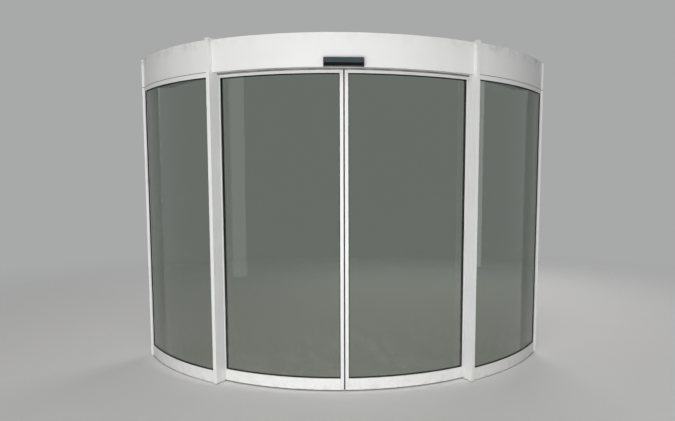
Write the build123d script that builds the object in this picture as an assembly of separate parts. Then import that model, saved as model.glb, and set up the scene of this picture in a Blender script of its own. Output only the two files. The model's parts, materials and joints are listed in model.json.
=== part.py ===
from build123d import *
import os
from math import acos, degrees, sqrt

# Curved automatic sliding door: two curved leaves run behind two fixed curved side lights,
# under a curved header. All arcs share one vertical axis. An angle is counted from the
# middle of the doorway, positive to the right as seen from outside, and outside is -Y.

# Overall sizes
door_height = 2512.0          # floor to the top of the header
header_height = 227.0
mullion_angle = 30.0
bow_depth = 890.0             # from the front of the wall posts out to the face of the closed leaves

# Concentric layers, from the leaves outwards and inwards
leaf_radius = 1844.0          # outer face of the leaves
beam_web_clearance = 6.0
beam_wall = 6.0
side_light_projection = 36.0  # back of the side lights in front of the beam's web
side_light_depth = 33.0
fascia_projection = 54.0      # centre fascia in front of the beam's web
mullion_projection = 14.0     # mullions in front of the side lights
inner_cover_set_back = 117.0  # inner cover behind the leaves' outer face

# Mullions and wall posts
mullion_width = 32.0
mullion_rise = 12.0           # above the header
mullion_wall = 3.0
mullion_leaf_gap = 4.0        # behind the mullion, under the header
mullion_groove_width = 2.5
mullion_groove_depth = 1.2
mullion_grooves = 5
fixing_plate_size = 38.0      # at the top of a mullion's face
fixing_plate_thickness = 2.0
post_width = 128.0
post_depth = 45.0
post_wall = 3.0
post_margin = 16.0            # strip of post that shows beside the header
end_plate_thickness = 6.0

# Fixed side lights
side_bottom_rail_height = 98.0
side_top_rail_height = 33.0
side_stile_width = 28.0
side_frame_wall = 2.5
side_glass_set_back = 6.5     # outer face of the pane behind the frame's face

# Sliding leaves
leaf_depth = 36.0
leaf_floor_gap = 9.0
leaf_bottom_rail_height = 84.0
leaf_top_sight = 28.0         # from the header's underside down to the leaf's glass
leaf_head_lap = 19.0          # from the header's underside up to the top of the leaf
meeting_stile_width = 24.0
trailing_stile_width = 38.0
meeting_gap = 10.0
leaf_wall = 2.5
leaf_travel = 27.0            # degrees that each leaf turns to open

# Glass and rubber
glass_thickness = 8.0
gasket_width = 5.0
gasket_depth = 5.0
gasket_fit = 0.2              # between a side light's rubber and the mullion beside it
seal_depth = 20.0
seal_clearance = 0.3

# Header
cover_thickness = 3.0
fascia_flange = 48.0
fascia_joint_height = 2.0     # shadow joint between a side fascia and the rail under it
fascia_joint_depth = 1.5
inner_flange = 62.0
top_plate_thickness = 3.0
beam_foot_height = 17.0
beam_top_flange = 100.0
brush_height = 9.0            # above the header's underside
brush_drop = 8.0              # below it
brush_width = 6.0
brush_clearance = 1.5

# Running track and the rollers on it
track_height = 79.0           # from the header's underside up to the shelf's upper face
shelf_reach = 36.0
rail_width = 8.0
rail_height = 8.0
rail_chamfer = 2.0
roller_radius = 22.0
roller_width = 15.0
roller_groove_depth = 4.0
roller_running_gap = 0.3
axle_radius = 5.0
hanger_thickness = 6.0
hanger_shelf_gap = 8.0
hanger_length = 150.0
hanger_top_margin = 8.0
roller_spacing = 90.0
hanger_angles = (6.0, 24.0)
stop_width = 26.0
stop_length = 30.0
stop_height = 34.0
stop_clearance = 5.0          # left between the open leaf's outer roller and the stop
stop_fit = 0.3                # between the stop's slot and the rail

# Floor guides
guide_thickness = 8.0
guide_length = 28.0
guide_plate_thickness = 4.0
guide_plate_width = 36.0
guide_clearance = 3.0
guide_top_clearance = 6.0
guide_depth = 14.0

# Sensors over the doorway
sensor_length = 274.0
sensor_height = 55.0
sensor_depth = 45.0
sensor_lens_height = 19.0     # lower part of the front, which slopes back
sensor_lens_slope = 14.0      # how far it slopes back
sensor_brow = 9.0             # bevel along the upper edge
sensor_end_bevel = 4.0
sensor_lift = 1.5             # from the header's lower edge up to the sensor

# Cutting blocks reach this far past what they cut
cut_margin = 1.0
cut_margin_angle = 1.0
sweep_end = 75.0              # angle beyond the wall plane on every layer

# Worked out from the sizes above
wall_plane = leaf_radius - bow_depth    # from the axis of the arcs forward to the front of the wall posts
web_inner = leaf_radius + beam_web_clearance
web_outer = web_inner + beam_wall
side_light_back = web_outer + side_light_projection
side_light_radius = side_light_back + side_light_depth
fascia_radius = web_outer + fascia_projection
mullion_face_radius = side_light_radius + mullion_projection
inner_cover_radius = leaf_radius - inner_cover_set_back
header_underside = door_height - header_height
mullion_height = door_height + mullion_rise
fascia_back = fascia_radius - cover_thickness
side_fascia_back = side_light_radius - cover_thickness
leaf_back = leaf_radius - leaf_depth
leaf_middle = leaf_radius - leaf_depth / 2
inner_cover_back = inner_cover_radius + cover_thickness
mullion_back = sqrt(web_outer ** 2 - (mullion_width / 2) ** 2)
mullion_rear = leaf_radius + mullion_leaf_gap
side_glass_middle = side_light_radius - side_glass_set_back - glass_thickness / 2
leaf_top = header_underside + leaf_head_lap
glass_top = header_underside - leaf_top_sight
glass_bottom = leaf_floor_gap + leaf_bottom_rail_height
side_glass_top = header_underside - side_top_rail_height
shelf_top = header_underside + track_height
rail_top = shelf_top + rail_height
top_plate_underside = door_height - cover_thickness - top_plate_thickness
guide_groove_half = guide_thickness / 2 + guide_clearance
guide_groove_top = guide_plate_thickness + guide_depth + guide_top_clearance
post_inner_x = sqrt(side_light_radius ** 2 - wall_plane ** 2) + post_margin - post_width
front_radius = fascia_radius + sensor_depth
back_distance = wall_plane - post_depth
axis_y = (front_radius + back_distance) / 2


def arc_degrees(length, radius):
    """The angle that a length takes up along an arc."""
    return degrees(length / radius)


side_end_angle = degrees(acos(wall_plane / side_light_radius))
side_stile_angle = side_end_angle - arc_degrees(side_stile_width, side_light_radius)
leaf_start = arc_degrees(meeting_gap / 2, leaf_radius)
leaf_glass_start = leaf_start + arc_degrees(meeting_stile_width, leaf_radius)
leaf_end = mullion_angle + arc_degrees(mullion_width / 2, leaf_radius)
leaf_glass_end = leaf_end - arc_degrees(trailing_stile_width, leaf_radius)
guide_angle = leaf_end - arc_degrees(trailing_stile_width / 2, leaf_radius)
stop_distance = roller_spacing / 2 + roller_radius + stop_clearance + stop_length / 2
stop_angle = hanger_angles[-1] + leaf_travel + arc_degrees(stop_distance, leaf_middle)


def at_angle(angle):
    """Frame at the arcs' axis whose X runs outwards along the given angle."""
    return Rot(0, 0, angle - 90)


def rectangle(r_low, r_high, z_low, z_high):
    """Radial section of a member: radii along X, heights along Z."""
    width, height = r_high - r_low, z_high - z_low
    middle = Pos((r_low + r_high) / 2, 0, (z_low + z_high) / 2)
    return middle * (Plane.XZ * Rectangle(width, height))


def tube_section(r_low, r_high, z_low, z_high, wall):
    """Radial section of a hollow rail."""
    hollow = rectangle(r_low + wall, r_high - wall, z_low + wall, z_high - wall)
    return rectangle(r_low, r_high, z_low, z_high) - hollow


def outline(*points):
    """Flat face in the XZ plane through (x, z) points; x is the radius in a member's section."""
    return make_face(Polyline(*[(r, 0, z) for r, z in points], close=True))


def curved(section, start, end):
    """Bend a radial section round the door's axis from one angle to another."""
    return at_angle(start) * revolve(section, Axis.Z, end - start)


def upright(r_low, r_high, width, z_low, z_high, angle, across=0.0):
    """Straight upright of rectangular plan, standing square to the arc."""
    block = Box(r_high - r_low, width, z_high - z_low)
    middle = Pos((r_low + r_high) / 2, across, (z_low + z_high) / 2)
    return at_angle(angle) * middle * block


def mullion_outline(angle):
    """Block that a mullion fills, used to trim what butts against it; its rear is cut back for the beam."""
    front = upright(mullion_back, mullion_face_radius, mullion_width, 0, mullion_height, angle)
    rear = upright(mullion_rear, mullion_back, mullion_width, 0, header_underside, angle)
    return front + rear


def in_front_of_wall(part, clearance=0.0):
    """Cut a curved member off at the front of the wall posts, or short of it."""
    reach = 2 * mullion_face_radius
    middle = Pos(0, -wall_plane - clearance - reach / 2, door_height / 2)
    keep = middle * Box(2 * reach, reach, 2 * door_height)
    return part & keep


def side_member(section):
    """A member that runs from the right mullion to the right wall post."""
    return in_front_of_wall(curved(section, mullion_angle, sweep_end) - mullion_outline(mullion_angle))


def centre_member(section):
    """A member that runs between the two mullions."""
    arc = curved(section, -mullion_angle, mullion_angle)
    return arc - mullion_outline(mullion_angle) - mullion_outline(-mullion_angle)


def full_member(section):
    """A member that runs behind both mullions from wall post to wall post."""
    arc = in_front_of_wall(curved(section, -sweep_end, sweep_end))
    return arc - mullion_outline(mullion_angle) - mullion_outline(-mullion_angle)


def glass_band(middle):
    """Inner and outer radius of a pane."""
    return middle - glass_thickness / 2, middle + glass_thickness / 2


def gasket_loop(r_low, r_high, z_low, z_high, start, end):
    """Rubber strip round the edge of a pane, on one of its faces."""
    turn = arc_degrees(gasket_width, r_low)
    whole = curved(rectangle(r_low, r_high, z_low, z_high), start, end)
    inner = rectangle(r_low - cut_margin, r_high + cut_margin, z_low + gasket_width, z_high - gasket_width)
    return whole - curved(inner, start + turn, end - turn)


def wall_post():
    """Hollow post on the wall, with the plate that closes the header's end."""
    x_middle = post_inner_x + post_width / 2
    y_middle = -wall_plane + post_depth / 2
    hollow = Rectangle(post_width - 2 * post_wall, post_depth - 2 * post_wall)
    post = Pos(x_middle, y_middle, 0) * extrude(Rectangle(post_width, post_depth) - hollow, door_height)
    plate_x = sqrt(inner_cover_radius ** 2 - wall_plane ** 2)
    corner = (Align.MIN, Align.MIN, Align.MIN)
    plate = Box(post_inner_x - plate_x, end_plate_thickness, header_height, align=corner)
    return post + Pos(plate_x, -wall_plane, header_underside) * plate


def mullion():
    """Upright with grooves towards the doorway, hollow, closed and with a fixing plate at its top."""
    depth = mullion_face_radius - mullion_rear
    plan = Rectangle(depth, mullion_width)
    for number in range(mullion_grooves):
        along = depth * (number + 1) / (mullion_grooves + 1) - depth / 2
        groove = Rectangle(mullion_groove_width, 2 * mullion_groove_depth)
        plan -= Pos(along, -mullion_width / 2) * groove
    hollow_depth = mullion_face_radius - mullion_back - 2 * mullion_wall
    hollow = Pos((depth - hollow_depth) / 2 - mullion_wall, 0) * Rectangle(
        hollow_depth, mullion_width - 2 * mullion_wall)
    tube = extrude(plan, mullion_height) - extrude(hollow, mullion_height - mullion_wall)
    upper_middle = (Align.MIN, Align.CENTER, Align.MAX)
    plate = Box(fixing_plate_thickness, fixing_plate_size, fixing_plate_size, align=upper_middle)
    tube += Pos(depth / 2, 0, mullion_height) * plate
    placed = at_angle(mullion_angle) * Pos(mullion_rear + depth / 2, 0, 0) * tube
    return placed - upright(mullion_rear - cut_margin, mullion_back, 2 * mullion_width,
                            header_underside, mullion_height + cut_margin, mullion_angle)


def header_beam():
    """Curved beam of the header with the running track on its shelf."""
    foot_low = header_underside + beam_foot_height
    foot_high = foot_low + beam_wall
    shelf_low = shelf_top - beam_wall
    shelf_edge = web_inner - shelf_reach
    flange_low = top_plate_underside - beam_wall
    rail_low = leaf_middle - rail_width / 2
    rail_high = leaf_middle + rail_width / 2
    section = outline(
        (fascia_back, foot_low), (fascia_back, foot_high), (web_outer, foot_high),
        (web_outer, top_plate_underside), (web_outer - beam_top_flange, top_plate_underside),
        (web_outer - beam_top_flange, flange_low), (web_inner, flange_low),
        (web_inner, shelf_top), (rail_high, shelf_top), (rail_high, rail_top - rail_chamfer),
        (rail_high - rail_chamfer, rail_top), (rail_low + rail_chamfer, rail_top),
        (rail_low, rail_top - rail_chamfer), (rail_low, shelf_top), (shelf_edge, shelf_top),
        (shelf_edge, shelf_low), (web_inner, shelf_low), (web_inner, foot_low),
    )
    return full_member(section)


def top_plate():
    """Dust cover over the header, between the fascias and the inner cover."""
    z_low, z_high = top_plate_underside, top_plate_underside + top_plate_thickness
    inner = full_member(rectangle(inner_cover_back, web_outer, z_low, z_high))
    centre = centre_member(rectangle(web_outer, fascia_back, z_low, z_high))
    side = side_member(rectangle(web_outer, side_fascia_back, z_low, z_high))
    return inner + centre + side + mirror(side, Plane.YZ)


def fascia_centre():
    """Outer cover over the doorway, with a flange under the header."""
    flange_inner = fascia_radius - fascia_flange
    edge = cover_thickness / 2
    return centre_member(outline(
        (fascia_radius, header_underside + edge), (fascia_radius, door_height), (fascia_back, door_height),
        (fascia_back, header_underside + cover_thickness), (flange_inner, header_underside + cover_thickness),
        (flange_inner, header_underside), (fascia_radius - edge, header_underside),
    ))


def fascia_side():
    """Outer cover over a side light, with a shadow joint along its foot."""
    joint_top = header_underside + fascia_joint_height
    joint_back = side_light_radius - fascia_joint_depth
    upper_flange = header_underside + cover_thickness
    return side_member(outline(
        (joint_back, header_underside), (joint_back, joint_top), (side_light_radius, joint_top),
        (side_light_radius, door_height), (side_fascia_back, door_height), (side_fascia_back, upper_flange),
        (web_outer, upper_flange), (web_outer, header_underside),
    ))


def inner_cover_section():
    """Inner cover, with a flange that runs under the header towards the leaves."""
    flange_edge = inner_cover_back + inner_flange
    upper_flange = header_underside + cover_thickness
    return outline(
        (inner_cover_radius, header_underside), (inner_cover_radius, door_height),
        (inner_cover_back, door_height), (inner_cover_back, upper_flange), (flange_edge, upper_flange),
        (flange_edge, header_underside),
    )


def inner_cover_side():
    """Inner cover behind a side light, from the mullion's angle to the wall post."""
    return in_front_of_wall(curved(inner_cover_section(), mullion_angle, sweep_end))


def doorway_brush():
    """Brush strips against the closed leaves: under the fascia and down each mullion."""
    tip = leaf_radius + brush_clearance
    low, high = header_underside - brush_drop, header_underside + brush_height
    head = centre_member(rectangle(tip, fascia_radius - fascia_flange, low, high))
    side = upright(tip, mullion_rear, brush_width, leaf_floor_gap, low, mullion_angle)
    return [head, side, mirror(side, Plane.YZ)]


def side_bottom_rail():
    return side_member(
        tube_section(side_light_back, side_light_radius, 0, side_bottom_rail_height, side_frame_wall))


def side_top_rail():
    return side_member(
        tube_section(side_light_back, side_light_radius, side_glass_top, header_underside, side_frame_wall))


def side_end_stile():
    """Stile of the side light against the wall post, hollow, mitred to the wall plane."""
    block = rectangle(side_light_back, side_light_radius, side_bottom_rail_height, side_glass_top)
    stile = in_front_of_wall(curved(block, side_stile_angle, sweep_end))
    wall_turn = arc_degrees(side_frame_wall, side_light_radius)
    core = rectangle(side_light_back + side_frame_wall, side_light_radius - side_frame_wall,
                     side_bottom_rail_height, side_glass_top)
    return stile - in_front_of_wall(curved(core, side_stile_angle + wall_turn, sweep_end), side_frame_wall)


def side_glass():
    low, high = glass_band(side_glass_middle)
    section = rectangle(low, high, side_bottom_rail_height, side_glass_top)
    return curved(section, mullion_angle, side_stile_angle) - mullion_outline(mullion_angle)


def side_gaskets():
    """Rubber round the side light's pane, outside and inside."""
    low, high = glass_band(side_glass_middle)
    start = mullion_angle + arc_degrees(mullion_width / 2 + gasket_fit, low)
    return [
        gasket_loop(inner, outer, side_bottom_rail_height, side_glass_top, start, side_stile_angle)
        for inner, outer in ((high, high + gasket_depth), (low - gasket_depth, low))
    ]


def guide_groove(start, end):
    """Space under a leaf in which the floor guide's tongue runs."""
    section = rectangle(leaf_middle - guide_groove_half, leaf_middle + guide_groove_half, 0, guide_groove_top)
    return curved(section, start - cut_margin_angle, end + cut_margin_angle)


def leaf_stile(start, end):
    """Full-height stile of a leaf, hollow, closed at its ends by its own walls."""
    solid = curved(rectangle(leaf_back, leaf_radius, leaf_floor_gap, leaf_top), start, end)
    turn = arc_degrees(leaf_wall, leaf_radius)
    core = rectangle(leaf_back + leaf_wall, leaf_radius - leaf_wall, glass_bottom, glass_top)
    return solid - curved(core, start + turn, end - turn) - guide_groove(start, end)


def leaf_bottom_rail():
    """Bottom rail: a hollow box above the groove of the floor guide."""
    rail = curved(tube_section(leaf_back, leaf_radius, leaf_floor_gap, glass_bottom, leaf_wall),
                  leaf_glass_start, leaf_glass_end)
    half = guide_groove_half + leaf_wall
    channel = rectangle(leaf_middle - half, leaf_middle + half, leaf_floor_gap, guide_groove_top + leaf_wall)
    rail += curved(channel, leaf_glass_start, leaf_glass_end)
    return rail - guide_groove(leaf_glass_start, leaf_glass_end)


def leaf_top_rail():
    return curved(tube_section(leaf_back, leaf_radius, glass_top, leaf_top, leaf_wall),
                  leaf_glass_start, leaf_glass_end)


def leaf_glass():
    low, high = glass_band(leaf_middle)
    return curved(rectangle(low, high, glass_bottom, glass_top), leaf_glass_start, leaf_glass_end)


def leaf_gaskets():
    low, high = glass_band(leaf_middle)
    return [
        gasket_loop(inner, outer, glass_bottom, glass_top, leaf_glass_start, leaf_glass_end)
        for inner, outer in ((high, high + gasket_depth), (low - gasket_depth, low))
    ]


def meeting_seal():
    """Rubber nose on the meeting stile."""
    section = rectangle(leaf_middle - seal_depth / 2, leaf_middle + seal_depth / 2, leaf_floor_gap, leaf_top)
    return curved(section, arc_degrees(seal_clearance, leaf_radius), leaf_start)


def roller():
    """Roller, lying along X, with a groove that takes the head of the rail."""
    root = roller_radius - roller_groove_depth
    half = roller_width / 2
    floor = rail_width / 2 + roller_running_gap - rail_chamfer
    profile = outline(
        (-half, 0), (-half, roller_radius), (-floor, root), (floor, root), (half, roller_radius), (half, 0))
    return revolve(profile, Axis.X, 360)


def carriage(angle):
    """Hanger on the leaf's top rail with two grooved rollers on the track."""
    plate_outer = web_inner - shelf_reach - hanger_shelf_gap
    plate_inner = plate_outer - hanger_thickness
    axle_height = rail_top + roller_radius - roller_groove_depth + roller_running_gap
    plate_top = axle_height + axle_radius + hanger_top_margin
    foot_outer = leaf_radius - leaf_wall
    body = upright(plate_inner, plate_outer, hanger_length, leaf_top, plate_top, 0)
    body += upright(plate_inner, foot_outer, hanger_length, leaf_top, leaf_top + hanger_thickness, 0)
    for across in (-roller_spacing / 2, roller_spacing / 2):
        place = at_angle(0) * Pos(sqrt(leaf_middle ** 2 - across ** 2), across, axle_height)
        inner_end = (Align.CENTER, Align.CENTER, Align.MAX)
        axle = Rot(0, 90, 0) * Cylinder(axle_radius, leaf_middle - plate_outer, align=inner_end)
        body += place * (roller() + axle)
    return Rot(0, 0, angle) * body


def track_stop():
    """Block astride the rail that the outer roller of an open leaf comes up to."""
    half = stop_width / 2
    slot_half = rail_width / 2 + stop_fit
    block = upright(leaf_middle - half, leaf_middle + half, stop_length,
                    shelf_top, shelf_top + stop_height, stop_angle)
    slot = upright(leaf_middle - slot_half, leaf_middle + slot_half, stop_length + 2 * cut_margin,
                   shelf_top - cut_margin, rail_top + stop_fit, stop_angle)
    return block - slot


def floor_guide():
    """Plate on the floor behind the mullion, with a tongue that stands in the leaf's groove."""
    plate_inner = leaf_middle - guide_thickness / 2 - guide_plate_thickness
    plate = upright(plate_inner, mullion_rear, guide_plate_width, 0, guide_plate_thickness, guide_angle)
    tongue = upright(leaf_middle - guide_thickness / 2, leaf_middle + guide_thickness / 2, guide_length,
                     guide_plate_thickness, guide_plate_thickness + guide_depth, guide_angle)
    return plate - mullion_outline(mullion_angle) + tongue


def sensor_bar(face_radius, outward):
    """Motion sensor on a curved cover, outside (+1) or inside (-1), with a lens that slopes back."""
    low = header_underside + sensor_lift
    section = outline(
        (-sensor_depth, 0), (sensor_depth - sensor_lens_slope, 0), (sensor_depth, sensor_lens_height),
        (sensor_depth, sensor_height), (-sensor_depth, sensor_height),
    )
    block = extrude(section, sensor_length / 2, both=True)
    block = chamfer(block.edges().filter_by(Axis.Y).group_by(Axis.Z)[-1], sensor_brow)
    block = chamfer(block.edges().filter_by(Axis.Z).group_by(Axis.X)[-1], sensor_end_bevel)
    turn = arc_degrees(sensor_length, face_radius)
    cover = curved(rectangle(0, face_radius, low - cut_margin, low + sensor_height + cut_margin), -turn, turn)
    if outward > 0:
        return at_angle(0) * Pos(face_radius, 0, low) * block - cover
    return at_angle(0) * Pos(face_radius, 0, low) * mirror(block, Plane.YZ) & cover


def save(node, shape):
    """Move a piece from the arcs' axis to the part's origin and write it."""
    pieces = shape if isinstance(shape, list) else [shape]
    solids = [solid for piece in pieces for solid in piece.solids()]
    placed = [Pos(0, axis_y, 0) * solid for solid in solids]
    export_step(placed[0] if len(placed) == 1 else Compound(children=placed), f"parts/{node}.step")


def save_pair(name, shape):
    """Write a right-hand piece and its mirror image on the left."""
    pieces = shape if isinstance(shape, list) else [shape]
    save(name.replace("SIDE", "right"), pieces)
    save(name.replace("SIDE", "left"), [mirror(piece, Plane.YZ) for piece in pieces])


os.makedirs("parts", exist_ok=True)

save_pair("wall_post_SIDE", wall_post())
save_pair("mullion_SIDE", mullion())
save("header_beam", header_beam())
save("header_top_plate", top_plate())
save("fascia_centre", fascia_centre())
save_pair("fascia_SIDE", fascia_side())
save("inner_cover_centre", curved(inner_cover_section(), -mullion_angle, mullion_angle))
save_pair("inner_cover_SIDE", inner_cover_side())
save("doorway_brush", doorway_brush())
save("track_stops", [track_stop(), mirror(track_stop(), Plane.YZ)])
save("sensor_outer", sensor_bar(fascia_radius, 1))
save("sensor_inner", sensor_bar(inner_cover_radius, -1))

save_pair("side_light_SIDE_bottom_rail", side_bottom_rail())
save_pair("side_light_SIDE_top_rail", side_top_rail())
save_pair("side_light_SIDE_end_stile", side_end_stile())
save_pair("side_light_SIDE_glass", side_glass())
save_pair("side_light_SIDE_gasket", side_gaskets())
save_pair("floor_guide_SIDE", floor_guide())

save_pair("leaf_SIDE_meeting_stile", leaf_stile(leaf_start, leaf_glass_start))
save_pair("leaf_SIDE_trailing_stile", leaf_stile(leaf_glass_end, leaf_end))
save_pair("leaf_SIDE_top_rail", leaf_top_rail())
save_pair("leaf_SIDE_bottom_rail", leaf_bottom_rail())
save_pair("leaf_SIDE_glass", leaf_glass())
save_pair("leaf_SIDE_gasket", leaf_gaskets())
save_pair("leaf_SIDE_meeting_seal", meeting_seal())
save_pair("leaf_SIDE_carriages", [carriage(angle) for angle in hanger_angles])
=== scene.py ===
"""Looks of the curved automatic sliding door: finishes, glazing beads, lips, screws, sensors and sealant."""
import json
import math
from collections import namedtuple

import bmesh
import bpy
from mathutils import Matrix, Vector


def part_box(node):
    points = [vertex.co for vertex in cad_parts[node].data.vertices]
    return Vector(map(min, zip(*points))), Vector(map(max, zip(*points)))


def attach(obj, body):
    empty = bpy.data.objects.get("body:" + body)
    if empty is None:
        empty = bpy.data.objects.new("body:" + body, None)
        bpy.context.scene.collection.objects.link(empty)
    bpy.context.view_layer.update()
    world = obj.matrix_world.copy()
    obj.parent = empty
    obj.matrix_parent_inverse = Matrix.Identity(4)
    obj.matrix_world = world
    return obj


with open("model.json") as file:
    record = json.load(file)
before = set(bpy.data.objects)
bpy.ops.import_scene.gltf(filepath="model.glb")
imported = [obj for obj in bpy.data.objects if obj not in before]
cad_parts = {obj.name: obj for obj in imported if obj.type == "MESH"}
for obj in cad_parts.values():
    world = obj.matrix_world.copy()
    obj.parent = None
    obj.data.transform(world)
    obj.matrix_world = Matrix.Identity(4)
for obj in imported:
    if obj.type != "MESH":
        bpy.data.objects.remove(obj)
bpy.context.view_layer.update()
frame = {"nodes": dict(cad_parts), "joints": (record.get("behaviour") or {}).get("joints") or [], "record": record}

nodes = frame["nodes"]
scene = bpy.context.scene

# The door's arcs share one vertical axis, which the leaves' joints turn round
axis = Vector(frame["joints"][0]["pos_m"])

# Angles are in degrees from the middle of the doorway, positive to the right as seen from outside
Reach = namedtuple("Reach", "inner outer left right low high")


def reach(name):
    """How far a node reaches: radii from the axis, angles round it, and heights."""
    points = [vertex.co - axis for vertex in nodes[name].data.vertices]
    radii = [math.hypot(point.x, point.y) for point in points]
    angles = [math.degrees(math.atan2(point.x, -point.y)) for point in points]
    heights = [point.z for point in points]
    return Reach(min(radii), max(radii), min(angles), max(angles), min(heights), max(heights))


def polar(angle, radius, height):
    turn = math.radians(angle)
    return axis + Vector((radius * math.sin(turn), -radius * math.cos(turn), height))


def turned(angle):
    """Frame at the axis whose Y runs inwards along an angle, as it does in the doorway's middle."""
    return Matrix.Translation(axis) @ Matrix.Rotation(math.radians(angle), 4, "Z")


def degrees_of(length, radius):
    return math.degrees(length / radius)


LEFT_PANE = reach("leaf_left_glass")
RIGHT_PANE = reach("leaf_right_glass")
LEAF = reach("leaf_right_trailing_stile")       # a stile is as deep and as tall as its leaf
SIDE_RAIL = reach("side_light_right_bottom_rail")
MULLION = reach("mullion_right")
FASCIA = reach("fascia_centre")
BRUSH = reach("doorway_brush")
mullion_angle = (MULLION.left + MULLION.right) / 2
leaf_middle = (RIGHT_PANE.inner + RIGHT_PANE.outer) / 2

# Sizes of the CAD parts that no node's reach gives
MULLION_WIDTH = 0.032
FIXING_PLATE_SIZE = 0.038
FIXING_PLATE_THICKNESS = 0.002
GUIDE_PLATE_THICKNESS = 0.004
BRUSH_STRIP_HEIGHT = 0.017      # of the strip under the fascia
LENS_HEIGHT = 0.019             # lower part of a sensor's front, which slopes back
LENS_SLOPE = 0.014              # how far it slopes back


# Camera at the photograph's place, whose optical centre lies off the middle of the frame
PHOTO_WIDTH = 675
PHOTO_HEIGHT = 421
FOCAL_PIXELS = 565.14
OPTICAL_CENTRE = (368.25, 231.30)
SENSOR_WIDTH = 36.0
EYE = Vector((0.0364, -4.3825, 1.5327))
YAW = 0.0333
PITCH = -0.0929
ROLL = 0.0013


def add_camera():
    forward = Vector((math.sin(YAW) * math.cos(PITCH), math.cos(YAW) * math.cos(PITCH), math.sin(PITCH)))
    level = Vector((math.cos(YAW), -math.sin(YAW), 0.0))
    upward = level.cross(forward)
    right = math.cos(ROLL) * level + math.sin(ROLL) * upward
    up = -math.sin(ROLL) * level + math.cos(ROLL) * upward
    data = bpy.data.cameras.new("photo_camera")
    data.sensor_width = SENSOR_WIDTH
    data.lens = SENSOR_WIDTH * FOCAL_PIXELS / PHOTO_WIDTH
    data.shift_x = (PHOTO_WIDTH / 2 - OPTICAL_CENTRE[0]) / PHOTO_WIDTH
    data.shift_y = (OPTICAL_CENTRE[1] - PHOTO_HEIGHT / 2) / PHOTO_WIDTH
    camera = bpy.data.objects.new("photo_camera", data)
    camera.matrix_world = Matrix.Translation(EYE) @ Matrix((right, up, -forward)).transposed().to_4x4()
    scene.collection.objects.link(camera)
    scene.camera = camera


# Shader maths

class Signal:
    """Output socket of a node tree, with the operators that masks are written in."""

    def __init__(self, shading, socket):
        self.shading = shading
        self.socket = socket

    def __add__(self, other):
        return self.shading.maths("ADD", self, other)

    __radd__ = __add__

    def __sub__(self, other):
        return self.shading.maths("SUBTRACT", self, other)

    def __rsub__(self, other):
        return self.shading.maths("SUBTRACT", other, self)

    def __mul__(self, other):
        return self.shading.maths("MULTIPLY", self, other)

    __rmul__ = __mul__

    def __pow__(self, other):
        return self.shading.maths("POWER", self, other)

    def __gt__(self, other):
        return self.shading.maths("GREATER_THAN", self, other)

    def __lt__(self, other):
        return self.shading.maths("LESS_THAN", self, other)

    def __abs__(self):
        return self.shading.maths("ABSOLUTE", self)

    def rise(self, low, high):
        """0 at low and 1 at high, smooth between; with low above high it falls instead."""
        return self.shading.node("ShaderNodeMapRange", {"interpolation_type": "SMOOTHSTEP"},
                                 {"Value": self, "From Min": low, "From Max": high})

    def capped(self):
        """Kept between 0 and 1."""
        return self.shading.node("ShaderNodeMath", {"operation": "ADD", "use_clamp": True}, {0: self, 1: 0.0})


class Shading:
    """Node tree that is written as expressions."""

    def __init__(self, tree):
        self.tree = tree

    def add(self, kind, settings, values):
        node = self.tree.nodes.new(kind)
        for name, value in settings.items():
            setattr(node, name, value)
        for name, value in values.items():
            self.feed(node.inputs[name], value)
        return node

    def feed(self, socket, value):
        if isinstance(value, Signal):
            self.tree.links.new(value.socket, socket)
        else:
            socket.default_value = value

    def node(self, kind, settings=None, values=None, output=0):
        return Signal(self, self.add(kind, settings or {}, values or {}).outputs[output])

    def maths(self, operation, first, second=0.0):
        return self.node("ShaderNodeMath", {"operation": operation}, {0: first, 1: second})

    def seen(self):
        """1 for a ray that shows what it meets, straight on, mirrored or through glass, and 0 for others."""
        rays = self.add("ShaderNodeLightPath", {}, {})
        kinds = ("Camera", "Glossy", "Transmission")
        return sum(Signal(self, rays.outputs[f"Is {kind} Ray"]) for kind in kinds).capped()


class Finish(Shading):
    """A procedural material, whose patterns are in metres on the object's own coordinates."""

    def __init__(self, name):
        self.material = bpy.data.materials.new(name)
        self.material.use_nodes = True
        super().__init__(self.material.node_tree)
        self.tree.nodes.clear()
        self.place = self.node("ShaderNodeTexCoord", output="Object")
        split = self.add("ShaderNodeSeparateXYZ", {}, {"Vector": self.place})
        self.x, self.y, self.z = (Signal(self, split.outputs[name]) for name in "XYZ")

    def noise(self, scale, detail=3.0, roughness=0.55, place=None):
        return self.node("ShaderNodeTexNoise", {}, {
            "Vector": place or self.place, "Scale": scale, "Detail": detail, "Roughness": roughness})

    def point(self, x, y, z):
        return self.node("ShaderNodeCombineXYZ", {}, {"X": x, "Y": y, "Z": z})

    def distance(self, x, y):
        """Level distance from the upright line through a point."""
        across = self.x - x
        inwards = self.y - y
        return self.maths("SQRT", across * across + inwards * inwards)

    def radius(self):
        """Distance from the door's axis."""
        return self.distance(axis.x, axis.y)

    def angle(self):
        """Degrees round the door's axis from the middle of the doorway."""
        return self.maths("ARCTAN2", self.x - axis.x, axis.y - self.y) * (180 / math.pi)

    def mix(self, share, first, second):
        """Colour between two colours."""
        return self.node("ShaderNodeMix", {"data_type": "RGBA"}, {0: share, 6: first, 7: second}, output=2)

    def bump(self, height, depth):
        return self.node("ShaderNodeBump", {}, {"Height": height, "Distance": depth})

    def surface(self, shader):
        """End the material in a shader."""
        self.add("ShaderNodeOutputMaterial", {}, {"Surface": shader})
        return self.material

    def solid(self, **values):
        """End the material in one Principled shader."""
        named = {name.replace("_", " "): value for name, value in values.items()}
        return self.surface(self.node("ShaderNodeBsdfPrincipled", {}, named))


# Finishes: a noise is given as its scale, its detail and its roughness

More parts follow.
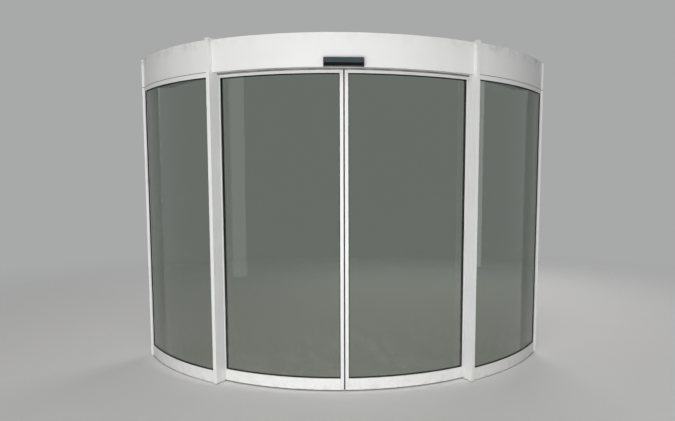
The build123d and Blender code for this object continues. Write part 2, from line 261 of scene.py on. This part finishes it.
WHITE = (0.83, 0.835, 0.825, 1)
WARM_WHITE = (0.805, 0.806, 0.79, 1)
DUST = (0.52, 0.49, 0.44, 1)
# Stains on the leaves; on the frame, painted shade along the header's top
STAIN_AND_SHADE = (0.47, 0.455, 0.43, 1)
# Dark joints; over the side lights it is also painted shade in the shadow joints
SEAM_AND_SHADE = (0.03, 0.029, 0.028, 1)


def concrete_dust(finish):
    """Share of dried concrete dust: specks and patches low down, thickest along the floor."""
    splash_height = 0.16
    foot_height = 0.022
    low = finish.z.rise(splash_height, 0.0)
    patches = finish.noise(16, 5, 0.7).rise(0.42, 0.74)
    specks = finish.noise(130, 3, 0.6).rise(0.60, 0.67)
    foot = finish.z.rise(foot_height, 0.0) * finish.noise(40, 4, 0.6).rise(0.3, 0.7)
    return (low * low * patches * 0.45 + low * specks * 0.5 + foot * 0.6).capped()


def powder_coat(name, seams_and_shade, stains_and_shade):
    """Glossy white powder coat with orange peel, a little mottling, dust, stains, dark joints and, on the frame,
    painted shade.
    """
    peel_depth = 0.00002
    finish = Finish(name)
    dust = concrete_dust(finish)
    # stains, and on the frame painted shade along the header's top
    stain_and_shade = stains_and_shade(finish)
    paint = finish.mix(finish.noise(2.6, 4, 0.6).rise(0.35, 0.75), WHITE, WARM_WHITE)
    dusty = finish.mix(dust, paint, DUST)
    stained_and_shaded = finish.mix(stain_and_shade, dusty, STAIN_AND_SHADE)
    wiped = finish.noise(6, 4, 0.65)
    peel = finish.noise(850, 2, 0.5) * 0.5 + finish.noise(190, 2, 0.4)
    return finish.solid(
        Base_Color=finish.mix(seams_and_shade(finish), stained_and_shaded, SEAM_AND_SHADE),
        Roughness=(wiped * 0.10 + 0.285 + dust * 0.5 + stain_and_shade * 0.3).capped(),
        Normal=finish.bump(peel + dust * 2, peel_depth),
        Specular_IOR_Level=0.55,
    )


def frame_seams_and_shade(finish):
    """Joints of the inner covers behind the mullions, and painted shade in the shadow joint over each side light
    and along its edges.
    """
    cover_joint = 0.0004                # half its width
    shade_half_height = 0.0020               # half the height of the painted shade, over the joint and along its edges
    shadow_middle = 0.0012              # above the fascia's foot
    mullion_room = 0.0165               # from the mullion's middle to where the shadow joint starts
    below_foot = 0.001
    behind_face = 0.002
    angle = abs(finish.angle())
    between_covers = abs(angle - mullion_angle) < degrees_of(cover_joint, FASCIA.outer)
    inner = between_covers * (finish.z > FASCIA.low - below_foot) * (finish.radius() < LEAF.inner)
    beside = angle > mullion_angle + degrees_of(mullion_room, SIDE_RAIL.outer)
    # painted shade over the shadow joint and a little way along its edges
    shade_over_rail = abs(finish.z - FASCIA.low - shadow_middle) < shade_half_height
    outer = shade_over_rail * beside * (finish.radius() > SIDE_RAIL.outer - behind_face)
    return (inner + outer).capped()


def frame_top_shade(finish):
    """Painted shade along the header's top, in darker patches, heavier beside the mullions."""
    near_mullion = 9                    # degrees
    shade_height = 0.09
    near = abs(finish.angle()).rise(mullion_angle - near_mullion, mullion_angle)
    top = finish.z.rise(FASCIA.high - shade_height, FASCIA.high)
    shade_patches = finish.noise(1.0, 5, 0.7, finish.point(finish.angle() * 0.35, finish.radius(), finish.z * 9))
    return (top * shade_patches.rise(0.42, 0.78) * (near * 0.55 + 0.18)).capped()


def leaf_seams(finish):
    """Butt joints between a leaf's stiles and its rails."""
    butt_joint = 0.00025                # half its width
    angle = abs(finish.angle())
    half = degrees_of(butt_joint, LEAF.outer)
    joints = (abs(angle - RIGHT_PANE.left) < half) + (abs(angle - RIGHT_PANE.right) < half)
    return joints * ((finish.z < RIGHT_PANE.low) + (finish.z > RIGHT_PANE.high)).capped()


def leaf_stains(finish):
    """Hand marks along the stiles."""
    return finish.noise(5, 5, 0.7).rise(0.60, 0.85) * 0.12


def tinted_glass():
    """Grey-green float glass: each face lets a share through and mirrors the rest as it turns edge-on."""
    straight_on = 0.04                  # share that a face mirrors
    wave_depth = 0.0006
    reflection_top = 1.2
    splash_top = 0.7
    finish = Finish("tinted_glass")
    body = finish.node("ShaderNodeBsdfTransparent", {}, {"Color": (0.565, 0.597, 0.562, 1)})
    waves = finish.noise(3.2, 2, 0.5)
    gloss = finish.node("ShaderNodeBsdfGlossy", {}, {
        "Color": (1, 1, 1, 1), "Roughness": 0.0, "Normal": finish.bump(waves, wave_depth)})
    edge_on = finish.node("ShaderNodeLayerWeight", {}, {"Blend": 0.5}, output="Facing")
    mirror = edge_on ** 5 * (1 - straight_on) + straight_on
    pane = finish.node("ShaderNodeMixShader", {}, {0: mirror, 1: body, 2: gloss})
    # thin film that lightens the glass smoothly towards the floor: dust, and painted reflection of the floor
    film_and_floor_reflection = finish.z.rise(reflection_top, 0.05) * 0.09
    splashes = finish.z.rise(splash_top, 0.08) * finish.noise(11, 6, 0.72).rise(0.42, 0.80) * 0.12
    dust = finish.node("ShaderNodeBsdfDiffuse", {}, {"Color": DUST})
    return finish.surface(finish.node("ShaderNodeMixShader", {}, {0: film_and_floor_reflection + splashes, 1: pane, 2: dust}))


def rubber():
    """Black rubber, greyed by dust where it is low."""
    dust_height = 0.4
    clean = (0.006, 0.006, 0.0065, 1)
    dusty = (0.10, 0.095, 0.085, 1)
    finish = Finish("black_rubber")
    grain = finish.noise(420, 3, 0.6)
    dust = (finish.z.rise(dust_height, 0.0) * finish.noise(60, 4, 0.7).rise(0.45, 0.8) * 0.5).capped()
    return finish.solid(
        Base_Color=finish.mix(dust, clean, dusty),
        Roughness=grain * 0.2 + 0.5 + dust * 0.3,
        Normal=finish.bump(grain, 0.00006),
        Specular_IOR_Level=0.22,
    )


def brush_pile():
    """Grey pile, whose fibres hang under the fascia and lie level down the mullions."""
    root_grey = (0.10, 0.10, 0.10, 1)
    tip_grey = (0.22, 0.22, 0.215, 1)
    finish = Finish("brush_pile")
    angle = finish.angle()
    depth = finish.radius() * 60
    hanging = finish.noise(1.0, 2, 0.5, finish.point(angle * 30, depth, finish.z * 25))
    level = finish.noise(1.0, 2, 0.5, finish.point(angle, depth, finish.z * 900))
    under_fascia = finish.z > BRUSH.high - BRUSH_STRIP_HEIGHT
    fibres = hanging * under_fascia + level * (1 - under_fascia)
    grime = finish.noise(14, 4, 0.6).rise(0.35, 0.75)
    pile = finish.mix(fibres.rise(0.35, 0.7), root_grey, tip_grey)
    return finish.solid(
        Base_Color=finish.mix(grime * 0.4, pile, DUST),
        Roughness=fibres * 0.2 + 0.7,
        Normal=finish.bump(fibres, 0.0004),
        Specular_IOR_Level=0.3,
    )


def sensor_plastic():
    """Slate plastic with a fine spark-eroded texture; below the lens height it is painted black, as shade over the
    underside.
    """
    dark_slate = (0.035, 0.055, 0.058, 1)
    pale_slate = (0.046, 0.062, 0.068, 1)
    shaded_black = (0.004, 0.005, 0.006, 1)
    finish = Finish("sensor_plastic")
    grain = finish.noise(1300, 2, 0.6)
    cloud = finish.noise(22, 3, 0.6)
    slate = finish.mix(cloud.rise(0.35, 0.7), dark_slate, pale_slate)
    # painted shade: black below the lens height, over the underside
    cover = finish.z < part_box("sensor_outer")[0].z + LENS_HEIGHT
    return finish.solid(
        Base_Color=finish.mix(cover, slate, shaded_black),
        Roughness=cloud * 0.10 + 0.29,
        Normal=finish.bump(grain, 0.00003),
        Specular_IOR_Level=0.35,
    )


def sensor_window():
    """Black glossy window that the sensor looks through."""
    wiped = (0.002, 0.003, 0.004, 1)
    smeared = (0.006, 0.007, 0.008, 1)
    finish = Finish("sensor_window")
    smear = finish.noise(30, 4, 0.6)
    return finish.solid(
        Base_Color=finish.mix(smear, wiped, smeared),
        Roughness=smear * 0.10 + 0.05,
        Specular_IOR_Level=0.2,
    )


def drawn_aluminium():
    """Mill-finish aluminium, whose drawing lines follow the arcs."""
    bright = (0.66, 0.665, 0.67, 1)
    tarnished = (0.50, 0.50, 0.495, 1)
    finish = Finish("drawn_aluminium")
    along = finish.point(finish.radius() * 900, finish.angle() * 0.6, finish.z * 900)
    lines = finish.noise(1.0, 3, 0.6, along)
    tarnish = finish.noise(9, 4, 0.65)
    return finish.solid(
        Base_Color=finish.mix(tarnish.rise(0.3, 0.8), bright, tarnished),
        Metallic=1.0,
        Roughness=lines * 0.20 + tarnish * 0.12 + 0.28,
        Normal=finish.bump(lines, 0.00006),
    )


def stainless():
    """Ground stainless steel, dulled by dust."""
    clean = (0.56, 0.555, 0.54, 1)
    dusty = (0.46, 0.43, 0.39, 1)
    finish = Finish("stainless")
    lines = finish.noise(1.0, 3, 0.6, finish.point(finish.x * 60, finish.y * 1200, finish.z * 1200))
    dust = (finish.noise(70, 4, 0.7).rise(0.45, 0.75) * 0.35).capped()
    return finish.solid(
        Base_Color=finish.mix(dust, clean, dusty),
        Metallic=1 - dust,
        Roughness=lines * 0.2 + 0.25 + dust * 0.4,
        Normal=finish.bump(lines, 0.00005),
    )


def zinc_plate():
    """Zinc-plated steel; on the carriages the rollers, over the track's shelf, are black nylon."""
    roller_room = 0.009                 # from the rail's middle to the rollers' inner ends
    over_shelf = 0.002
    bright = (0.62, 0.63, 0.63, 1)
    yellowed = (0.50, 0.50, 0.47, 1)
    nylon_black = (0.02, 0.02, 0.021, 1)
    finish = Finish("zinc_plate")
    shelf = reach("track_stops").low
    nylon = (finish.radius() > leaf_middle - roller_room) * (finish.z > shelf + over_shelf)
    spangle = finish.noise(160, 3, 0.6)
    plating = finish.mix(spangle, bright, yellowed)
    return finish.solid(
        Base_Color=finish.mix(nylon, plating, nylon_black),
        Metallic=1 - nylon,
        Roughness=spangle * 0.2 + 0.26 + nylon * 0.1,
        Normal=finish.bump(spangle, 0.00006),
    )


def sealant():
    """Grey silicone, uneven from the finger that smoothed it, with dust stuck to it."""
    silicone_grey = (0.34, 0.335, 0.325, 1)
    finish = Finish("sealant")
    ripple = finish.noise(45, 3, 0.5)
    dust = finish.noise(25, 5, 0.7).rise(0.4, 0.7)
    return finish.solid(
        Base_Color=finish.mix(dust, silicone_grey, DUST),
        Roughness=dust * 0.4 + 0.35,
        Normal=finish.bump(ripple, 0.0012),
    )


def screw_steel():
    """Dull steel, mottled by wear."""
    dull = (0.30, 0.29, 0.28, 1)
    worn = (0.20, 0.195, 0.19, 1)
    finish = Finish("screw_steel")
    wear = finish.noise(500, 3, 0.6)
    return finish.solid(
        Base_Color=finish.mix(wear, dull, worn),
        Metallic=1.0,
        Roughness=wear * 0.2 + 0.30,
        Normal=finish.bump(wear, 0.00003),
    )


FINISHES = {
    "frame_white": powder_coat("frame_white", frame_seams_and_shade, frame_top_shade),
    "leaf_white": powder_coat("leaf_white", leaf_seams, leaf_stains),
    "track_aluminium": drawn_aluminium(),
    "clear_glass": tinted_glass(),
    "black_rubber": rubber(),
    "brush_pile": brush_pile(),
    "sensor_housing": sensor_plastic(),
    "guide_metal": stainless(),
    "carriage_metal": zinc_plate(),
}
WINDOW = sensor_window()
SEALANT = sealant()
SCREW = screw_steel()


def dress_nodes():
    """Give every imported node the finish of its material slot."""
    for part in frame["record"]["subparts"]:
        for place in nodes[part["node"]].material_slots:
            place.material = FINISHES[part["material_slot"]]


# New pieces

SHARP = math.radians(30)
ARC_STEP = 1.0          # degrees
FLOOR_GAP = 0.0002      # under the sealant


def sweep(mesh, section, start, end):
    """Sweep a closed section of (radius, height) points round the axis between two angles."""
    ring = [mesh.verts.new(polar(start, radius, height)) for radius, height in section]
    rim = [mesh.edges.new(pair) for pair in zip(ring, ring[1:] + ring[:1])]
    spun = bmesh.ops.spin(
        mesh, geom=ring + rim, cent=axis, axis=(0, 0, 1), angle=math.radians(end - start),
        steps=max(1, round(abs(end - start) / ARC_STEP)), use_duplicate=False)
    last = [item for item in spun["geom_last"] if isinstance(item, bmesh.types.BMEdge)]
    for loop in (rim, last):
        bmesh.ops.contextual_create(mesh, geom=loop)


def strip(inner, outer, low, high):
    """Rectangular section."""
    return [(inner, low), (outer, low), (outer, high), (inner, high)]


def round_edges(mesh, edges, width, segments, clamped=False):
    bmesh.ops.bevel(mesh, geom=edges, offset=width, segments=segments, profile=0.5, affect="EDGES",
                    material=-1, clamp_overlap=clamped)


def soften(mesh, width, segments=2):
    """Round the sharp edges."""
    sharp = [edge for edge in mesh.edges if edge.calc_face_angle(0) > SHARP]
    round_edges(mesh, sharp, width, segments, clamped=True)


def add_piece(name, mesh, material, body):
    bmesh.ops.recalc_face_normals(mesh, faces=mesh.faces)
    for face in mesh.faces:
        face.smooth = True
    for edge in mesh.edges:
        edge.smooth = edge.calc_face_angle(0) < SHARP
    data = bpy.data.meshes.new(name)
    mesh.to_mesh(data)
    mesh.free()
    data.materials.append(material)
    piece = bpy.data.objects.new(name, data)
    scene.collection.objects.link(piece)
    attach(piece, body)


def glazing_beads(name, pane, rail, body, slot, sides):
    """Snap-in beads round a pane's inner face; sides are the ends of the pane that have one."""
    width = 0.014
    proud = 0.0016
    edge = 0.0004
    turn = degrees_of(width, rail.inner)
    gap = degrees_of(edge, rail.inner)
    left = pane.left - turn if "left" in sides else pane.left
    right = pane.right + turn if "right" in sides else pane.right
    inner = rail.inner - proud
    outer = rail.inner + proud
    mesh = bmesh.new()
    for low, high in ((pane.low - width, pane.low - edge), (pane.high + edge, pane.high + width)):
        sweep(mesh, strip(inner, outer, low, high), left, right)
    if "left" in sides:
        sweep(mesh, strip(inner, outer, pane.low, pane.high), left, pane.left - gap)
    if "right" in sides:
        sweep(mesh, strip(inner, outer, pane.low, pane.high), pane.right + gap, right)
    soften(mesh, 0.0005)
    add_piece(name, mesh, FINISHES[slot], body)


def leaf_lips(side):
    """Rubber lips under a leaf's bottom rail, one under each face."""
    root = 0.0025
    taper = 0.0007
    height = 0.0035
    face_margin = 0.0020
    stiles = [reach(f"leaf_{side}_{stile}_stile") for stile in ("meeting", "trailing")]
    start = min(stile.left for stile in stiles)
    end = max(stile.right for stile in stiles)
    mesh = bmesh.new()
    for inner in (LEAF.outer - face_margin - root, LEAF.inner + face_margin):
        section = [(inner, LEAF.low), (inner + taper, LEAF.low - height),
                   (inner + root - taper, LEAF.low - height), (inner + root, LEAF.low)]
        sweep(mesh, section, start, end)
    add_piece(f"leaf_{side}_bottom_lips", mesh, FINISHES["black_rubber"], f"leaf_{side}")


def screw_head(mesh, place, outward, radius, rise):
    """Pan head with a six-lobed socket, standing on a surface."""
    segments = 24
    lobes = 6
    # Shares of the head's radius
    crown = 0.9                         # radius at the top
    land = 0.3                          # flat ring round the socket
    socket = 0.40                       # middle radius of the socket
    lobe_depth = 0.16                   # share of the socket's radius
    # Shares of the head's rise
    rounding = 0.5
    socket_depth = 0.6
    head = bmesh.new()
    bmesh.ops.create_cone(head, cap_ends=True, cap_tris=False, segments=segments, radius1=radius,
                          radius2=radius * crown, depth=rise, matrix=Matrix.Translation((0, 0, rise / 2)))
    rim = [edge for edge in head.edges if all(vertex.co.z > rise / 2 for vertex in edge.verts)]
    round_edges(head, rim, rise * rounding, 3)
    top = max(head.faces, key=lambda face: face.calc_center_median().z + face.calc_area())
    bmesh.ops.inset_individual(head, faces=[top], thickness=radius * land)
    for vertex in top.verts:
        turn = math.atan2(vertex.co.y, vertex.co.x)
        reach_out = socket * radius * (1 + lobe_depth * math.cos(lobes * turn))
        vertex.co.x = reach_out * math.cos(turn)
        vertex.co.y = reach_out * math.sin(turn)
    walls = bmesh.ops.extrude_discrete_faces(head, faces=[top])["faces"]
    bmesh.ops.translate(head, vec=(0, 0, -rise * socket_depth), verts=list(walls[0].verts))
    stand = Matrix.Translation(place) @ Vector(outward).to_track_quat("Z", "Y").to_matrix().to_4x4()
    bmesh.ops.transform(head, matrix=stand, verts=head.verts)
    data = bpy.data.meshes.new("screw_head")
    head.to_mesh(data)
    head.free()
    mesh.from_mesh(data)
    bpy.data.meshes.remove(data)


def fixing_screws():
    """One screw in the middle of each mullion's fixing plate."""
    face = math.sqrt(MULLION.outer ** 2 - (FIXING_PLATE_SIZE / 2) ** 2)
    mesh = bmesh.new()
    for angle in (-mullion_angle, mullion_angle):
        place = polar(angle, face, MULLION.high - FIXING_PLATE_SIZE / 2)
        outward = turned(angle).to_3x3() @ Vector((0, -1, 0))
        screw_head(mesh, place, outward, radius=0.0055, rise=0.0028)
    add_piece("fixing_plate_screws", mesh, FINISHES["frame_white"], "door_frame")


def guide_screws():
    """Two screws that hold each floor guide down in front of its tongue."""
    beside_middle = 0.012
    before_tongue = 0.013               # from the tongue's middle
    row = leaf_middle + before_tongue
    mesh = bmesh.new()
    for side in ("left", "right"):
        guide = reach(f"floor_guide_{side}")
        middle = (guide.left + guide.right) / 2
        for across in (-beside_middle, beside_middle):
            place = polar(middle + degrees_of(across, row), row, GUIDE_PLATE_THICKNESS)
            screw_head(mesh, place, (0, 0, 1), radius=0.0042, rise=0.0016)
    add_piece("floor_guide_screws", mesh, SCREW, "door_frame")


def top_plate_screws():
    """Rows of screws along the edges of the header's dust cover."""
    spacing = 6.0                       # degrees
    each_way = 9
    inner_margin = 0.012
    outer_margin = 0.006
    cover = reach("header_top_plate")
    mesh = bmesh.new()
    for row in (cover.inner + inner_margin, FASCIA.inner - outer_margin):
        for step in range(-each_way, each_way + 1):
            screw_head(mesh, polar(step * spacing, row, cover.high), (0, 0, 1), radius=0.0045, rise=0.0022)
    add_piece("top_plate_screws", mesh, SCREW, "door_frame")


def sensor_rubber(side, outward):
    """Rubber between a sensor's housing and the cover, with outward +1 outside and -1 inside."""
    edge = 0.0009
    sunk = 0.001
    proud = 0.0025
    low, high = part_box(f"sensor_{side}")
    cover = FASCIA.outer if outward > 0 else reach("inner_cover_centre").inner
    turn = degrees_of((high.x - low.x) / 2 + edge, cover)
    faces = sorted((cover - outward * sunk, cover + outward * proud))
    mesh = bmesh.new()
    sweep(mesh, strip(*faces, low.z - edge, high.z + edge), -turn, turn)
    soften(mesh, 0.0005, 1)
    add_piece(f"sensor_{side}_rubber", mesh, FINISHES["black_rubber"], "door_frame")


def sensor_pane(side, outward):
    """Window on a sensor's sloping front, which runs back from the front face to the underside."""
    end_margin = 0.005
    edge_margin = 0.001
    thick = 0.0016
    corner = 0.004
    low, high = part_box(f"sensor_{side}")
    front = low.y if outward > 0 else high.y
    middle = Vector(((low.x + high.x) / 2, front + outward * LENS_SLOPE / 2, low.z + LENS_HEIGHT / 2))
    lean = math.atan2(LENS_SLOPE, LENS_HEIGHT)
    slope = math.hypot(LENS_HEIGHT, LENS_SLOPE)
    size = (high.x - low.x - 2 * end_margin, thick, slope - 2 * edge_margin)
    mesh = bmesh.new()
    bmesh.ops.create_cube(mesh, size=1, matrix=Matrix.Diagonal((*size, 1)))
    corners = [edge for edge in mesh.edges if abs(edge.verts[0].co.y - edge.verts[1].co.y) > thick / 2]
    round_edges(mesh, corners, corner, 5)
    soften(mesh, 0.0004)
    place = Matrix.Translation(middle) @ Matrix.Rotation(outward * lean, 4, "X")
    bmesh.ops.transform(mesh, matrix=place, verts=mesh.verts)
    add_piece(f"sensor_{side}_window", mesh, WINDOW, "door_frame")


def mullion_foot_bead(mesh, angle):
    """Low bead of silicone round a mullion's face and sides, sloping down to the floor."""
    thick = 0.004
    depth = MULLION.outer - FIXING_PLATE_THICKNESS + thick - MULLION.inner
    size = Matrix.Diagonal((MULLION_WIDTH + 2 * thick, depth, thick, 1))
    middle = Matrix.Translation((0, -MULLION.inner - depth / 2, thick / 2 + FLOOR_GAP))
    bead = bmesh.ops.create_cube(mesh, size=1, matrix=turned(angle) @ middle @ size)["verts"]
    edges = dict.fromkeys(edge for vertex in bead for edge in vertex.link_edges)
    rim = [edge for edge in edges if all(vertex.co.z > thick / 2 for vertex in edge.verts)]
    round_edges(mesh, rim, thick * 0.7, 2)


def floor_sealant():
    """Silicone along the foot of each side light's bottom rail and round the mullions' feet."""
    thick = 0.006
    hollow = 0.35                       # how far in the bead's hollow face lies, as a share of the thickness
    lap = 0.002                         # behind the rail's face
    mullion_room = 0.017                # from the mullion's middle to where the bead starts
    wall_room = 0.15                    # degrees
    start = mullion_angle + degrees_of(mullion_room, SIDE_RAIL.outer)
    end = SIDE_RAIL.right - wall_room
    face = SIDE_RAIL.outer
    section = [(face - lap, FLOOR_GAP), (face + thick, FLOOR_GAP), (face + thick * hollow, thick * hollow),
               (face, thick), (face - lap, thick)]
    mesh = bmesh.new()
    sweep(mesh, section, start, end)
    sweep(mesh, section, -end, -start)
    for angle in (-mullion_angle, mullion_angle):
        mullion_foot_bead(mesh, angle)
    add_piece("floor_sealant", mesh, SEALANT, "door_frame")


def add_pieces():
    for side, pane in (("left", LEFT_PANE), ("right", RIGHT_PANE)):
        glazing_beads(f"leaf_{side}_glazing_beads", pane, LEAF,
                      f"leaf_{side}", "leaf_white", ("left", "right"))
        leaf_lips(side)
    for side in ("left", "right"):
        glazing_beads(f"side_light_{side}_glazing_beads", reach(f"side_light_{side}_glass"), SIDE_RAIL,
                      "door_frame", "frame_white", (side,))
    fixing_screws()
    guide_screws()
    top_plate_screws()
    for side, outward in (("outer", 1), ("inner", -1)):
        sensor_rubber(side, outward)
        sensor_pane(side, outward)
    floor_sealant()


# Studio

def soft_light(name, size, power, place, target, mirrored=True, spared=None):
    """Area lamp, given its size in metres and its power in watts; it doesn't light what is spared."""
    data = bpy.data.lights.new(name, "AREA")
    data.shape = "RECTANGLE"
    data.size, data.size_y = size
    data.energy = power
    lamp = bpy.data.objects.new(name, data)
    lamp.location = place
    lamp.rotation_mode = "QUATERNION"
    lamp.rotation_quaternion = (Vector(target) - Vector(place)).to_track_quat("-Z", "Y")
    lamp.visible_glossy = mirrored
    lamp.light_linking.receiver_collection = spared
    scene.collection.objects.link(lamp)


def studio_floor():
    """Pale floor that fades out into the backdrop."""
    solid_to = 2.8
    gone_from = 8.5
    drop = 0.0005                       # below the part's feet
    darker = (0.83, 0.82, 0.805, 1)
    paler = (0.87, 0.86, 0.845, 1)
    unlit = (0, 0, 0, 1)
    lift = (0.12, 0.12, 0.118, 1)       # brings what the camera sees of it nearer to the backdrop
    finish = Finish("studio_floor")
    trowel = finish.noise(1.7, 5, 0.6)
    material = finish.solid(
        Base_Color=finish.mix(trowel, darker, paler),
        Roughness=0.9,
        Emission_Color=finish.mix(finish.seen(), unlit, lift),
        Emission_Strength=1.0,
        Alpha=finish.distance(0, 0).rise(gone_from, solid_to),
    )
    mesh = bmesh.new()
    bmesh.ops.create_grid(mesh, x_segments=1, y_segments=1, size=60)
    data = bpy.data.meshes.new("studio_floor")
    mesh.to_mesh(data)
    mesh.free()
    data.materials.append(material)
    floor = bpy.data.objects.new("studio_floor", data)
    floor.location.z = -drop
    scene.collection.objects.link(floor)
    return floor


def studio_world():
    """Even soft light, and a pale backdrop that meets the floor without a hard line."""
    lighting = 0.15
    backdrop = 0.40
    world = bpy.data.worlds.new("studio")
    scene.world = world
    world.use_nodes = True
    sky = Shading(world.node_tree)
    background = sky.tree.nodes["Background"]
    sky.feed(background.inputs["Color"], (0.985, 0.99, 1.0, 1))
    sky.feed(background.inputs["Strength"], sky.seen() * (backdrop - lighting) + lighting)


def kept_dark(floor):
    """Collection that keeps a low lamp from burning out the floor under it."""
    spared = bpy.data.collections.new("not_lit_by_low_lamps")
    spared.objects.link(floor)
    spared.collection_objects[0].light_linking.link_state = "EXCLUDE"
    return spared


def studio_lamps(floor):
    """Soft boxes: two high ones outside, one high one inside, and lower ones that spare the floor."""
    spared = kept_dark(floor)
    soft_light("front_light", (4.5, 2.5), 56, (-2.4, -6.0, 5.6), (0, 0, 1.3))
    soft_light("near_light", (2.5, 1.5), 44, (-0.4, -4.6, 1.8), (0, 0, 1.4), mirrored=False, spared=spared)
    soft_light("low_light", (6.0, 0.8), 115, (-0.6, -4.6, 0.5), (0, 0, 0.3), mirrored=False, spared=spared)
    soft_light("overhead_light", (4.0, 3.0), 70, (0.0, -4.4, 5.4), (0, -3.6, 0), mirrored=False)
    soft_light("rear_light", (4.0, 2.5), 110, (2.2, 5.5, 4.2), (0, 0, 1.2))
    soft_light("inside_light", (3.5, 1.5), 60, (0.5, 4.8, 2.0), (0, 0, 1.3), mirrored=False, spared=spared)
    soft_light("left_box", (1.0, 3.6), 9, (-4.57, -2.2, 1.85), (-0.78, -0.22, 1.5), spared=spared)
    soft_light("right_box", (0.4, 3.0), 6, (4.4, -1.1, 1.8), (0, 0, 1.3), spared=spared)


add_camera()
dress_nodes()
add_pieces()
studio_world()
studio_lamps(studio_floor())
scene.view_settings.view_transform = "Standard"
